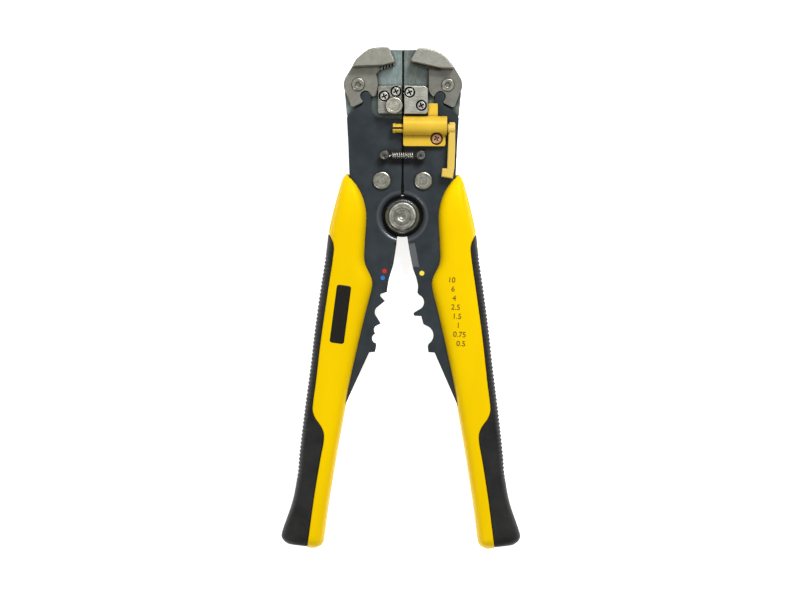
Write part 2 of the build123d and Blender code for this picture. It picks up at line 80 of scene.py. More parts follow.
# ---- shader nodes ------------------------------------------------------------------------------
class Shader:
    """A new material with helpers that add nodes and link them."""

    def __init__(self, name, **values):
        self.material = bpy.data.materials.new(name)
        self.material.use_nodes = True
        self.tree = self.material.node_tree
        self.surface = self.tree.nodes["Principled BSDF"]
        self.set(self.surface, values)
        self.place = self.add("ShaderNodeTexCoord").outputs["Object"]

    def set(self, node, values):
        for name, value in values.items():
            socket = node.inputs[name.replace("_", " ")]
            if isinstance(value, bpy.types.NodeSocket):
                self.tree.links.new(value, socket)
            else:
                socket.default_value = value

    def add(self, kind, settings=None, **values):
        node = self.tree.nodes.new(kind)
        for name, value in (settings or {}).items():
            setattr(node, name, value)
        self.set(node, values)
        return node

    def stretched(self, x, y, z):
        """The place, scaled per axis."""
        return self.add("ShaderNodeMapping", Vector=self.place, Scale=(x, y, z)).outputs["Vector"]

    def noise(self, per_mm, detail=3.0, roughness=0.55, vector=None, distortion=0.0):
        node = self.add(
            "ShaderNodeTexNoise",
            Vector=vector or self.place,
            Scale=per_mm / MM,
            Detail=detail,
            Roughness=roughness,
            Distortion=distortion,
        )
        return node.outputs["Fac"]

    def spread(self, value, low, high, to_low=0.0, to_high=1.0):
        """value, mapped from low..high to to_low..to_high, and held at both ends."""
        node = self.add("ShaderNodeMapRange", Value=value)
        for name, number in zip(MAP_ENDS, (low, high, to_low, to_high)):
            node.inputs[name].default_value = number
        return node.outputs["Result"]

    def math(self, operation, a, b=0.0):
        node = self.add("ShaderNodeMath", {"operation": operation})
        for socket, value in zip(node.inputs, (a, b)):
            if isinstance(value, bpy.types.NodeSocket):
                self.tree.links.new(value, socket)
            else:
                socket.default_value = value
        return node.outputs["Value"]

    def mix(self, factor, a, b):
        """The colour a where factor is 0 and b where it is 1."""
        node = self.add("ShaderNodeMix", {"data_type": "RGBA"})
        for socket, value in zip((node.inputs[0], node.inputs[6], node.inputs[7]), (factor, a, b)):
            if isinstance(value, bpy.types.NodeSocket):
                self.tree.links.new(value, socket)
            else:
                socket.default_value = value if isinstance(value, float) else (*value, 1.0)
        return node.outputs[2]

    def edges(self, radius=0.3):
        """Where the surface is near a sharp edge, from 0 to 1, and the normal rounded over that edge."""
        bevel = self.add("ShaderNodeBevel", {"samples": 6}, Radius=radius * MM).outputs["Normal"]
        normal = self.add("ShaderNodeNewGeometry").outputs["Normal"]
        dot = self.add("ShaderNodeVectorMath", {"operation": "DOT_PRODUCT"})
        self.tree.links.new(bevel, dot.inputs[0])
        self.tree.links.new(normal, dot.inputs[1])
        return self.spread(dot.outputs["Value"], 0.99, 0.75), bevel

    def painted_corner_shade(self, tone, reach, depth, shade_colour=(0.004, 0.004, 0.004)):
        """The colour tone, with painted shade in corners and under overhangs that are within reach
        millimetres.
        """
        corners = self.add("ShaderNodeAmbientOcclusion", {"samples": 8}, Distance=reach * MM)
        return self.mix(self.spread(corners.outputs["AO"], 0.9, 0.35, 0.0, depth), tone, shade_colour)

    def height(self):
        return self.add("ShaderNodeSeparateXYZ", Vector=self.place).outputs["Z"]

    def nearest(self, centres):
        """Distance in metres across XY to the nearest of the centres."""
        closest = None
        for centre in centres:
            flat = self.add("ShaderNodeVectorMath", {"operation": "MULTIPLY"})
            away = self.add("ShaderNodeVectorMath", {"operation": "DISTANCE"})
            self.tree.links.new(self.place, flat.inputs[0])
            flat.inputs[1].default_value = (1.0, 1.0, 0.0)
            self.tree.links.new(flat.outputs[0], away.inputs[0])
            away.inputs[1].default_value = (centre[0], centre[1], 0.0)
            reach = away.outputs["Value"]
            closest = reach if closest is None else self.math("MINIMUM", closest, reach)
        return closest

    def bump(self, height, depth, normal=None):
        """Raises the surface by up to depth millimetres where height is 1."""
        values = {"Height": height, "Distance": depth * MM, "Strength": 1.0}
        if normal is not None:
            values["Normal"] = normal
        return self.add("ShaderNodeBump", **values).outputs["Normal"]

    def finish(self, **values):
        self.set(self.surface, values)
        return self.material


def steel(name, colour, dark, bright, grain=(1.0, 0.06, 1.0), low=None, painted_shade_rings=None, painted_corner_shade=1.2):
    """Ground or satin steel: scratches along the axis where grain is least, blotches and bright edges.

    low is (foot, top, shade): the metal darkens from the height top down to foot, in millimetres.
    soiled is (centres, radius) of black rings of painted shade, on faces that lie down in a well round
    each centre. crevice is how far the painted shade of corners reaches.
    """
    s = Shader(name, Metallic=1.0)
    fine = s.noise(5.0, 3.0, 0.6, s.stretched(*grain))
    cloud = s.noise(0.22, 4.0, 0.6)
    speck = s.noise(3.0, 2.0, 0.5)
    tone = s.mix(s.spread(cloud, 0.35, 0.65), dark, colour)
    tone = s.mix(s.spread(fine, 0.42, 0.75, 0.0, 0.45), tone, bright)
    tone = s.mix(s.spread(speck, 0.62, 0.8, 0.0, 0.5), tone, dark)
    edge, rounded = s.edges()
    # bright edges: partly wear, partly a painted highlight along the edges
    wear_and_edge_highlight = s.math("MULTIPLY", edge, s.spread(s.noise(0.8, 3.0), 0.3, 0.6, 0.3, 0.6))
    tone = s.mix(wear_and_edge_highlight, tone, bright)
    if low:
        foot, top, shade = low
        tone = s.mix(s.spread(s.height(), top * MM, foot * MM, 0.0, shade), tone, (0.01, 0.01, 0.01))
    if painted_shade_rings:
        centres, radius = painted_shade_rings
        # painted shade: black rings round the centres, on faces that lie down in a well
        ring = s.spread(s.nearest(centres), radius * MM, (radius + 0.25) * MM, 0.93, 0.0)
        tone = s.mix(ring, tone, (0.012, 0.012, 0.012))
    return s.finish(
        Base_Color=s.painted_corner_shade(tone, painted_corner_shade, 0.92),
        Roughness=s.spread(fine, 0.3, 0.7, 0.32, 0.5),
        Normal=s.bump(fine, 0.012, rounded),
    )


def blackened(name, colour, light, wear_and_edge_highlight, well=None, ground=None, painted_shadow_patch=None):
    """Dark satin coating on steel, with faint rolling marks and metal showing along the edges, which are
    lightened partly as wear and partly as a painted highlight.

    well is (centre in metres, radius) of an opening whose dished rim is polished. ground is
    (low y, high y) of a sloping ground edge. greasy is (centre, half sizes) of a black patch of
    painted shadow, rougher than the rest. All but the well's centre are in millimetres.
    """
    s = Shader(name, Specular_IOR_Level=0.4)
    cloud = s.noise(0.12, 5.0, 0.6)
    fine = s.noise(6.0, 2.0, 0.5)
    streak = s.noise(1.6, 3.0, 0.6, s.stretched(1.0, 0.12, 1.0))
    tone = s.mix(s.spread(cloud, 0.35, 0.7), colour, light)
    tone = s.mix(s.spread(streak, 0.55, 0.8, 0.0, 0.35), tone, light)
    edge, rounded = s.edges(0.22)
    edge = s.math("MULTIPLY", edge, s.spread(s.noise(0.5, 4.0, 0.65), 0.42, 0.62, 0.2, 1.0))
    # edges lightened partly as wear, partly as a painted highlight
    tone = s.mix(edge, tone, wear_and_edge_highlight)
    metal = s.math("MULTIPLY", edge, 0.6)
    if well:
        centre, radius = well
        away = s.nearest([centre])
        rim = s.spread(away, (radius + 2.5) * MM, (radius + 1.7) * MM)
        metal = s.math("MAXIMUM", metal, s.math("MULTIPLY", rim, 0.5))
    if ground:
        place = s.add("ShaderNodeSeparateXYZ", Vector=s.place).outputs["Y"]
        facing = s.add("ShaderNodeNewGeometry").outputs["Normal"]
        slope = s.spread(s.add("ShaderNodeSeparateXYZ", Vector=facing).outputs["Z"], 0.985, 0.96)
        band = s.math("MULTIPLY", s.spread(place, ground[0] * MM, (ground[0] + 0.2) * MM), slope)
        band = s.math("MULTIPLY", band, s.spread(place, ground[1] * MM, (ground[1] - 0.2) * MM))
        tone = s.mix(s.math("MULTIPLY", band, 0.8), tone, (0.2, 0.215, 0.225))
        metal = s.math("MAXIMUM", metal, s.math("MULTIPLY", band, 0.8))
    roughness = s.spread(cloud, 0.3, 0.7, 0.34, 0.5)
    tone = s.painted_corner_shade(tone, 3.2, 0.9)
    # painted shadow: a black patch round the spring, also made rougher
    if painted_shadow_patch:
        middle, reach = painted_shadow_patch
        offset = s.add("ShaderNodeVectorMath", {"operation": "SUBTRACT"})
        s.tree.links.new(s.place, offset.inputs[0])
        offset.inputs[1].default_value = [value * MM for value in middle]
        sides = s.add("ShaderNodeSeparateXYZ", Vector=offset.outputs["Vector"])
        for axis, half in zip("XY", reach):
            away_from = s.math("ABSOLUTE", sides.outputs[axis])
            fade = s.spread(away_from, half * MM, (half - 1.6) * MM)
            patch = fade if axis == "X" else s.math("MULTIPLY", patch, fade)
        tone = s.mix(s.math("MULTIPLY", patch, 0.92), tone, (0.0015, 0.0015, 0.0015))
        roughness = s.math("ADD", roughness, s.math("MULTIPLY", patch, 0.3))
    if well:
        roughness = s.math("MULTIPLY", roughness, s.spread(rim, 0.0, 1.0, 1.0, 0.6))
        tone = s.mix(rim, tone, (0.085, 0.095, 0.105))
    return s.finish(
        Base_Color=tone,
        Metallic=metal,
        Roughness=roughness,
        Normal=s.bump(s.math("ADD", fine, s.math("MULTIPLY", streak, 0.6)), 0.012, rounded),
    )


def turned(name, centres, colour, dark, ring_mm, rough=0.28, depth=0.02, contrast=0.4, broad=0.0):
    """Bright metal turned in rings about each of the centres, which are points in metres."""
    s = Shader(name, Metallic=1.0)
    reach = s.nearest(centres)
    wobble = s.math("MULTIPLY", s.noise(0.6, 2.0), 0.0003)
    across = s.math("ADD", reach, wobble)

    def waves(phase):
        """Rises from 0 to 1 and falls back, phase radians on with each ring_mm outwards."""
        return s.spread(s.math("SINE", s.math("MULTIPLY", across, phase / (ring_mm * MM))), -1.0, 1.0)

    rings = waves(2 * math.pi)
    wide = waves(0.8 * math.pi)
    fine = s.noise(4.0, 3.0, 0.6)
    tone = s.mix(s.spread(s.noise(0.5, 4.0, 0.6), 0.35, 0.7), dark, colour)
    tone = s.mix(s.math("MULTIPLY", rings, contrast), tone, dark)
    tone = s.mix(s.math("MULTIPLY", wide, broad), tone, (0.05, 0.048, 0.04))
    edge, rounded = s.edges(0.25)
    # painted highlight: the edges are lightened to the plain colour
    tone = s.mix(edge, tone, colour)
    height = s.math("ADD", rings, s.math("MULTIPLY", fine, 0.4))
    return s.finish(
        Base_Color=s.painted_corner_shade(tone, 0.9, 0.8),
        Roughness=s.spread(fine, 0.3, 0.7, rough - 0.06, rough + 0.12),
        Normal=s.bump(height, depth, rounded),
    )


def moulded(name, colour, deep, light, rough=(0.28, 0.4)):
    """Moulded plastic: a slight flow pattern in its colour, a very fine surface and softened edges,
    lightened as a painted highlight.
    """
    shade = (0.09, 0.035, 0.002)
    s = Shader(name, Specular_IOR_Level=0.5, Specular_Tint=(*light, 1.0))
    flow = s.noise(0.035, 3.0, 0.5, s.stretched(1.6, 0.5, 1.0), 0.6)
    fine = s.noise(3.2, 3.0, 0.6)
    smudge = s.noise(0.16, 4.0, 0.62)
    tone = s.mix(s.spread(flow, 0.35, 0.68), deep, colour)
    edge, rounded = s.edges()
    # painted highlight: the edges are lightened towards light
    tone = s.mix(s.math("MULTIPLY", edge, 0.35), tone, light)
    return s.finish(
        Base_Color=s.painted_corner_shade(tone, 1.5, 0.85, shade),
        Roughness=s.spread(smudge, 0.35, 0.68, *rough),
        Normal=s.bump(fine, 0.01, rounded),
    )


def rubbery(name, colour, light):
    """Soft matte rubber with a pebbled grain and a trace of dust."""
    s = Shader(name, Specular_IOR_Level=0.24, Sheen_Weight=0.04, Sheen_Roughness=0.5)
    pebbles = s.add("ShaderNodeTexVoronoi", {"feature": "F1"}, Vector=s.place, Scale=2.6 / MM)
    cloud = s.noise(0.1, 4.0, 0.6)
    dust = s.noise(1.2, 4.0, 0.65)
    tone = s.mix(s.spread(cloud, 0.35, 0.7), colour, light)
    tone = s.mix(s.spread(dust, 0.6, 0.85, 0.0, 0.3), tone, light)
    return s.finish(
        Base_Color=tone,
        Roughness=s.spread(cloud, 0.3, 0.7, 0.52, 0.66),
        Normal=s.bump(pebbles.outputs["Distance"], 0.03),
    )


def painted(name, colour, dark):
    """A small spot of enamel paint, uneven at a fine scale."""
    s = Shader(name, Specular_IOR_Level=0.25)
    fine = s.noise(2.5, 3.0, 0.6)
    return s.finish(
        Base_Color=s.mix(s.spread(fine, 0.35, 0.7), dark, colour),
        Roughness=s.spread(fine, 0.3, 0.7, 0.3, 0.5),
        Normal=s.bump(fine, 0.02),
    )


def centre_of(node):
    low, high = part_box(node)
    return (low + high) / 2


def screw_places(side):
    """Centres of the two cross-head screws of a lower jaw: the farthest corners of their box, set in."""
    low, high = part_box(f"{side}_jaw_screws")
    r = 1.8 * MM  # of the screws' heads
    rising = side == "left"
    left = Vector((low.x + r, low.y + r if rising else high.y - r, 0.0))
    right = Vector((high.x - r, high.y - r if rising else low.y + r, 0.0))
    return left, right


def make_materials():
    rivets = [centre_of(f"{side}_lever_rivet") for side in SIDES]
    pins = [centre_of(f"{side}_jaw_rivet") for side in SIDES]
    posts = [centre_of(f"{side}_spring_post") for side in SIDES]
    knob = centre_of("adjusting_knob")
    pivot = centre_of("pivot_bolt")
    screws = [point for side in SIDES for point in screw_places(side)]
    spring = centre_of("return_spring")
    cutter_y = (-21.5, -10.8)
    return {
        "base_steel": steel(
            "base_steel", (0.3, 0.375, 0.36), (0.21, 0.27, 0.255), (0.52, 0.6, 0.58),
            painted_shade_rings=([pivot], 8.6), painted_corner_shade=2.2,
        ),
        "base_steel_right": steel(
            "base_steel_right", (0.2, 0.235, 0.215), (0.13, 0.155, 0.14), (0.42, 0.47, 0.45),
            painted_shade_rings=([pivot], 8.6), painted_corner_shade=2.2,
        ),
        "jaw_steel": steel(
            "jaw_steel", (0.37, 0.365, 0.305), (0.285, 0.28, 0.235), (0.6, 0.59, 0.52),
            grain=(1.0, 0.8, 1.0), low=(13.3, 17.6, 0.22),
        ),
        "jaw_steel_right": steel(
            "jaw_steel_right", (0.41, 0.405, 0.355), (0.32, 0.315, 0.275), (0.62, 0.61, 0.55),
            grain=(1.0, 0.8, 1.0), low=(13.3, 17.6, 0.4),
        ),
        # painted shade: this left lower jaw's steel is set darker than the right one's
        "block_steel": steel(
            "block_steel", (0.34, 0.34, 0.295), (0.22, 0.22, 0.19), (0.66, 0.66, 0.6),
            grain=(0.1, 1.0, 1.0), painted_shade_rings=(screws, 2.15), painted_corner_shade=1.8,
        ),
        "block_steel_right": steel(
            "block_steel_right", (0.48, 0.48, 0.415), (0.36, 0.36, 0.31), (0.75, 0.75, 0.68),
            grain=(0.1, 1.0, 1.0), painted_shade_rings=(screws, 2.15), painted_corner_shade=1.8,
        ),
        "blade_steel": steel("blade_steel", (0.08, 0.07, 0.06), (0.04, 0.035, 0.03), (0.3, 0.28, 0.26)),
        # painted shade: the screw heads turn nearly black towards the bottom of their recesses
        "screw_steel": steel(
            "screw_steel", (0.72, 0.71, 0.64), (0.4, 0.39, 0.35), (0.92, 0.91, 0.86),
            low=(16.7, 17.1, 0.95),
        ),
        "nickel": turned(
            "nickel", [pivot, *rivets, *pins], (0.6, 0.59, 0.5), (0.26, 0.255, 0.215),
            1.3, 0.28, 0.02, 0.55,
        ),
        "pivot_steel": turned(
            "pivot_steel", [pivot], (0.72, 0.71, 0.62), (0.2, 0.195, 0.165), 1.1, 0.36, 0.03, 0.7, 0.4
        ),
        "knob_nickel": turned("knob_nickel", [knob], (0.88, 0.87, 0.72), (0.45, 0.44, 0.36), 0.9),
        "collar_steel": turned("collar_steel", [pivot], (0.3, 0.32, 0.32), (0.17, 0.18, 0.18), 0.8, 0.3),
        # painted highlight: one broad bright ring between a dark centre and a dark rim on each post head
        "post_steel": turned(
            "post_steel", posts, (0.42, 0.42, 0.38), (0.04, 0.04, 0.038), 1.65, 0.35, 0.01, 0.95
        ),
        "dark_steel": blackened(
            "dark_steel", (0.009, 0.0155, 0.0195), (0.018, 0.027, 0.032), (0.2, 0.21, 0.21),
            well=(pivot, 8.3), ground=cutter_y,
            painted_shadow_patch=((spring.x / MM, spring.y / MM - 0.7, 0.0), (10.2, 4.0)),
        ),
        "die_steel": blackened(
            "die_steel", (0.014, 0.016, 0.018), (0.026, 0.028, 0.03), (0.2, 0.2, 0.2)
        ),
        "black_steel": blackened(
            "black_steel", (0.006, 0.006, 0.007), (0.015, 0.015, 0.016), (0.3, 0.3, 0.3)
        ),
        "spring_steel": steel(
            "spring_steel", (0.55, 0.55, 0.53), (0.35, 0.35, 0.33), (0.85, 0.85, 0.83)
        ),
        "grip_yellow": moulded(
            "grip_yellow", (0.83, 0.55, 0.0006), (0.79, 0.515, 0.0005), (1.0, 0.78, 0.02), (0.4, 0.5)
        ),
        "grip_black": rubbery("grip_black", (0.005, 0.0055, 0.0052), (0.016, 0.0165, 0.015)),
        "stop_yellow": moulded("stop_yellow", (0.75, 0.49, 0.04), (0.64, 0.41, 0.03), (0.98, 0.82, 0.4)),
        "arm_yellow": moulded("arm_yellow", (0.74, 0.54, 0.11), (0.66, 0.46, 0.08), (1.0, 0.9, 0.6)),
        "copper_screw": steel("copper_screw", (0.8, 0.43, 0.22), (0.45, 0.23, 0.12), (0.95, 0.75, 0.6)),
        "red_paint": painted("red_paint", (0.62, 0.03, 0.025), (0.45, 0.015, 0.012)),
        "blue_paint": painted("blue_paint", (0.03, 0.2, 0.62), (0.02, 0.12, 0.45)),
        "yellow_paint": painted("yellow_paint", (0.9, 0.78, 0.1), (0.75, 0.6, 0.05)),
        "ink": painted("ink", (0.06, 0.032, 0.003), (0.12, 0.07, 0.004)),
        "label_black": painted("label_black", (0.008, 0.007, 0.004), (0.004, 0.0035, 0.002)),
    }


# Materials of single CAD nodes that differ a little from the rest of their material slot. For the right
# base, right upper jaw and right lower jaw they are lighter or darker copies of the same steel.
OWN_MATERIAL = {
    "right_jaw_base": "base_steel_right",
    "right_upper_jaw": "jaw_steel_right",
    "left_lower_jaw": "block_steel",
    "right_lower_jaw": "block_steel_right",
    "adjusting_knob": "knob_nickel",
    "stop_arm": "arm_yellow",
    "pivot_bolt": "pivot_steel",
    "left_spring_post": "post_steel",
    "right_spring_post": "post_steel",
    "front_collar": "collar_steel",
    "rear_collar": "collar_steel",
}


# ---- meshes ------------------------------------------------------------------------------------
def curve_value(points, x):
    """The height at x of a smooth curve through (x, y) points, which run upwards or downwards in x."""
    points = sorted(points)
    if x <= points[0][0]:
        return points[0][1]
    if x >= points[-1][0]:
        return points[-1][1]
    slopes = [(b[1] - a[1]) / (b[0] - a[0]) for a, b in zip(points, points[1:])]
    tangents = [slopes[0], *((a + b) / 2 for a, b in zip(slopes, slopes[1:])), slopes[-1]]
    i = max(k for k in range(len(slopes)) if points[k][0] <= x)
    (x0, y0), (x1, y1) = points[i], points[i + 1]
    span = x1 - x0
    t = (x - x0) / span
    return (
        y0 * (1 + 2 * t) * (1 - t) ** 2
        + y1 * t * t * (3 - 2 * t)
        + span * t * (1 - t) * (tangents[i] * (1 - t) - tangents[i + 1] * t)
    )


def quarter(x, start, length):
    """1 up to start, then falling like a quarter of an ellipse to 0 at start + length."""
    t = min(max((x - start) / length, 0.0), 1.0)
    return math.sqrt(1 - t * t)


def lofted(name, rings):
    """A closed mesh through rings of points in millimetres, with a cap at each end."""
    mesh = bpy.data.meshes.new(name)
    build = bmesh.new()
    loops = [[build.verts.new(Vector(p) * MM) for p in ring] for ring in rings]
    for one, two in zip(loops, loops[1:]):
        for i in range(len(one)):
            j = (i + 1) % len(one)
            build.faces.new((one[i], one[j], two[j], two[i]))
    build.faces.new(list(reversed(loops[0])))
    build.faces.new(loops[-1])
    bmesh.ops.recalc_face_normals(build, faces=build.faces)
    for face in build.faces:
        face.smooth = True
    build.to_mesh(mesh)
    build.free()
    piece = bpy.data.objects.new(name, mesh)
    bpy.context.scene.collection.objects.link(piece)
    return piece


def tube(name, points, radius, sides=10):
    """A round wire along points in millimetres."""
    points = [Vector(p) for p in points]
    rings = []
    across = Vector((0.0, 0.0, 1.0))
    for i, point in enumerate(points):
        along = (points[min(i + 1, len(points) - 1)] - points[max(i - 1, 0)]).normalized()
        across = (across - along * across.dot(along)).normalized()
        other = along.cross(across)
        turns = [2 * math.pi * k / sides for k in range(sides)]
        rings.append([point + (across * math.cos(a) + other * math.sin(a)) * radius for a in turns])
    return lofted(name, rings)


def dress(piece, slot, body, *nodes):
    """Gives a new piece its material, its CAD body and the CAD nodes that it stands for."""
    piece.data.materials.append(materials[slot])
    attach(piece, body)
    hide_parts(*nodes)


# ---- handles -----------------------------------------------------------------------------------
# (v, u) points along the edges of a handle and of its soft insert, and (v, half thickness) points.
GRIP_INNER = [
    (17.2, 22.1), (16.5, 21.3), (14.8, 20.0), (13.0, 18.6), (10.0, 16.9), (7.0, 15.65), (4.0, 14.9),
    (1.0, 14.48), (-2.0, 14.45), (-9.5, 14.9), (-14.0, 15.1), (-17.0, 15.2), (-20.0, 14.65),
    (-23.0, 13.15), (-26.0, 11.9), (-28.0, 11.75), (-30.0, 12.05), (-37.0, 13.85), (-49.0, 16.75),
    (-73.0, 21.95), (-78.0, 22.8), (-98.0, 26.3), (-118.0, 29.45), (-137.0, 32.0),
]
GRIP_OUTER = [
    (17.2, 23.1), (16.5, 23.9), (15.0, 24.7), (12.0, 25.6), (8.0, 26.75), (0.0, 28.75), (-8.0, 30.35),
    (-12.0, 30.75), (-16.0, 31.3), (-30.0, 33.45), (-50.0, 36.1), (-60.0, 37.2), (-80.0, 39.75),
    (-98.0, 41.8), (-105.0, 42.35), (-115.0, 44.0), (-128.0, 48.1), (-130.5, 48.75), (-137.0, 49.0),
]
INSERT_EDGE = [
    (-6.6, 30.3), (-9.0, 29.05), (-11.0, 28.2), (-13.0, 27.85), (-15.0, 28.0), (-30.0, 30.15),
    (-50.0, 32.95), (-70.0, 35.25), (-76.0, 36.05), (-79.5, 36.22), (-82.5, 35.15), (-85.5, 32.95),
    (-88.5, 31.7), (-91.5, 31.65), (-98.0, 32.8), (-114.0, 35.4), (-137.0, 38.4),
]
GRIP_DEPTH = [
    (17.2, 3.4), (15.0, 5.0), (12.0, 6.4), (8.0, 7.5), (3.0, 8.2),
    (-3.0, 8.5), (-6.0, 8.5), (-9.0, 8.5), (-140.0, 8.5),
]
FOOT_LEAN = 0.12  # how much farther down the outer side of the foot is
FOOT_INNER = (35.2, 3.6)  # u where the foot's inner corner ends, and the corner's length
FOOT_OUTER = (43.5, 4.6)
FOOT_THINNING = 4.5
SQUARENESS = 3.4  # exponent of the section
RIB_ENDS = (-108.5, -14.0)
RIB_FADE = 4
RIB_PITCH = 1.64
RIB_DEPTH = 0.38
PARTING = 0.4  # rounding at the wall between shell and insert
INSERT_GAP = 0.12
SHELL_STEPS = 104


def grip_edges(v, foot):
    """Inner edge, outer edge and half thickness of a handle at v, rounded off towards its foot."""
    down = -v
    inner = curve_value(GRIP_INNER, v)
    outer = curve_value(GRIP_OUTER, v)
    inner_u, inner_corner = FOOT_INNER
    outer_u, outer_corner = FOOT_OUTER
    inner = inner_u - (inner_u - inner) * quarter(down, foot - inner_corner, inner_corner)
    rounded = quarter(down, foot - outer_corner, outer_corner)
    outer = outer_u + (outer - outer_u) * rounded
    depth = curve_value(GRIP_DEPTH, v) - FOOT_THINNING * (1 - rounded)
    return inner, outer, depth


def section(u, inner, outer, depth):
    """Half thickness of a handle at u: a squarish ellipse across its width."""
    x = min(abs((u - (inner + outer) / 2) / ((outer - inner) / 2)), 1.0)
    return depth * (1 - x**SQUARENESS) ** (1 / SQUARENESS)


def ribbed(v, u, inner, outer):
    """How far the outer side is cut in by the fine ribs along it."""
    first, last = RIB_ENDS
    if not first < v < last:
        return 0.0
    fade = min((v - first) / RIB_FADE, (last - v) / RIB_FADE, 1.0)
    side = max(0.0, 1 - (outer - u) / (0.16 * (outer - inner)))
    return RIB_DEPTH * fade * side * (0.5 + 0.5 * math.cos(2 * math.pi * v / RIB_PITCH))


def half_ring(v, side, edges, cut, towards, middle_z):
    """One closed ring of a handle part, from a wall at u = cut to its inner or outer side.

    towards is -1 for the shell, which lies inwards of the wall, and 1 for the insert.
    """
    inner, outer, depth = edges
    far = outer if towards > 0 else inner
    width = abs(far - cut)
    round_off = min(PARTING, width / 3)
    if cut >= outer - 1e-6:
        round_off = 0.0
    count = 22
    upper = []
    for k in range(4):
        share = k / 3
        u = cut + towards * round_off * share
        drop = round_off * (1 - math.sqrt(1 - (1 - share) ** 2))
        upper.append((u, max(section(u, inner, outer, depth) - drop, 0.02)))
    begin = cut + towards * round_off
    for k in range(1, count + 1):
        turn = math.pi / 2 * k / count
        u = begin + (far - begin) * math.sin(turn)
        upper.append((u, section(u, inner, outer, depth)))
    upper[-1] = (far, 0.0)
    lower = [(u, -z) for u, z in reversed(upper[:-1])]
    ring = []
    for u, z in upper + lower:
        u -= ribbed(v, u, inner, outer) if towards > 0 else 0.0
        lean = FOOT_LEAN * (u - 34.0) * (min(v + 118.0, 0.0) / 18.0) ** 2
        ring.append((side * u, v + lean, middle_z + z))
    return ring


def make_handle(name, side):
    low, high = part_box(f"{name}_grip")
    middle_z = (low.z + high.z) / 2 / MM
    foot = -low.y / MM
    top = high.y / MM
    shell, insert = [], []
    for k in range(SHELL_STEPS + 1):
        v = top - (top + foot - 0.02) * k / SHELL_STEPS
        edges = grip_edges(v, foot)
        cut = min(curve_value(INSERT_EDGE, v), edges[1]) if v < -6.5 else edges[1]
        cut = min(max(cut, edges[0] + 0.3), edges[1])
        shell.append(half_ring(v, side, edges, cut, -1, middle_z))
    v = -6.9
    while v > -foot + 0.01:
        edges = grip_edges(v, foot)
        cut = curve_value(INSERT_EDGE, v) + INSERT_GAP
        if edges[1] - cut > 0.25:
            insert.append(half_ring(v, side, edges, cut, 1, middle_z))
        v -= RIB_PITCH / 8 if -110 < v < -12 else 0.6
    shell_piece = lofted(f"{name}_handle_shell", shell)
    insert_piece = lofted(f"{name}_handle_insert", insert)
    dress(shell_piece, "grip_yellow", f"{name}_lever", f"{name}_grip")
    dress(insert_piece, "grip_black", f"{name}_lever", f"{name}_grip_insert")


def make_label():
    """A plain dark panel with rounded corners that follows the front of the left handle."""
    low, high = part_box("left_grip")
    middle_z = (low.z + high.z) / 2 / MM
    foot = -low.y / MM
    start, end = Vector((23.55, -28.3)), Vector((26.55, -51.9))
    half_width, corner = 2.95, 0.9
    along = (end - start).normalized()
    across = Vector((-along.y, along.x))
    length = (end - start).length
    rings = []
    for k in range(61):
        reach = length * k / 60
        gap = min(reach, length - reach, corner)
        half = half_width - corner + math.sqrt(corner**2 - (corner - gap) ** 2) - 0.01
        top = []
        for i in range(13):
            point = start + along * reach + across * (half * (i / 6 - 1))
            inner, outer, depth = grip_edges(point.y, foot)
            top.append((-point.x, point.y, middle_z + section(point.x, inner, outer, depth) + 0.05))
        rings.append(top + [(x, y, z - 0.3) for x, y, z in reversed(top)])
    dress(lofted("label", rings), "label_black", "left_lever", "label_panel")


SIZE_MARKS = ("10", "6", "4", "2.5", "1.5", "1", "0.75", "0.5")
MARKS_START = (20.2, -26.0)  # (u, v) of the first
MARKS_STEP = (0.55, -3.7)
MARKS_TURN = math.radians(-3.0)


def make_size_marks():
    """Plain wire sizes printed across the front of the right handle, as a thin layer of ink."""
    low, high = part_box("right_grip")
    middle_z = (low.z + high.z) / 2 / MM
    foot = -low.y / MM
    ink = bmesh.new()
    for row, text in enumerate(SIZE_MARKS):
        u, v = (begin + step * row for begin, step in zip(MARKS_START, MARKS_STEP))
        curve = bpy.data.curves.new("size_mark", "FONT")
        curve.body = text
        curve.align_x, curve.align_y = "CENTER", "CENTER"
        curve.size = 3.1
        curve.extrude = 0.06
        writing = bpy.data.objects.new("size_mark", curve)
        mesh = bpy.data.meshes.new_from_object(writing)
        for point in mesh.vertices:
            x, y, z = point.co
            across = u + x * math.cos(MARKS_TURN) - y * math.sin(MARKS_TURN)
            along = v + x * math.sin(MARKS_TURN) + y * math.cos(MARKS_TURN)
            inner, outer, depth = grip_edges(along, foot)
            point.co = Vector((across, along, middle_z + section(across, inner, outer, depth) + z)) * MM
        ink.from_mesh(mesh)
        bpy.data.objects.remove(writing)
        bpy.data.curves.remove(curve)
        bpy.data.meshes.remove(mesh)
    marks = bpy.data.meshes.new("size_marks")
    ink.to_mesh(marks)
    ink.free()
    piece = bpy.data.objects.new("size_marks", marks)
    bpy.context.scene.collection.objects.link(piece)
    marks.materials.append(materials["ink"])
    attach(piece, "right_lever")


# ---- return spring -----------------------------------------------------------------------------
LOOP_R, COIL_R, WIRE_R = 1.75, 1.15, 0.29
COIL_HALF = 4.4
COIL_TURNS = 10
COIL_STEPS = 16  # points to a turn


def loop_round(post, z, begin):
    """A flat loop of wire through 320 degrees round a post, from the angle begin."""
    angles = [math.radians(begin + 320 * k / 24) for k in range(25)]
    return [(post.x + LOOP_R * math.cos(a), post.y + LOOP_R * math.sin(a), z) for a in angles]


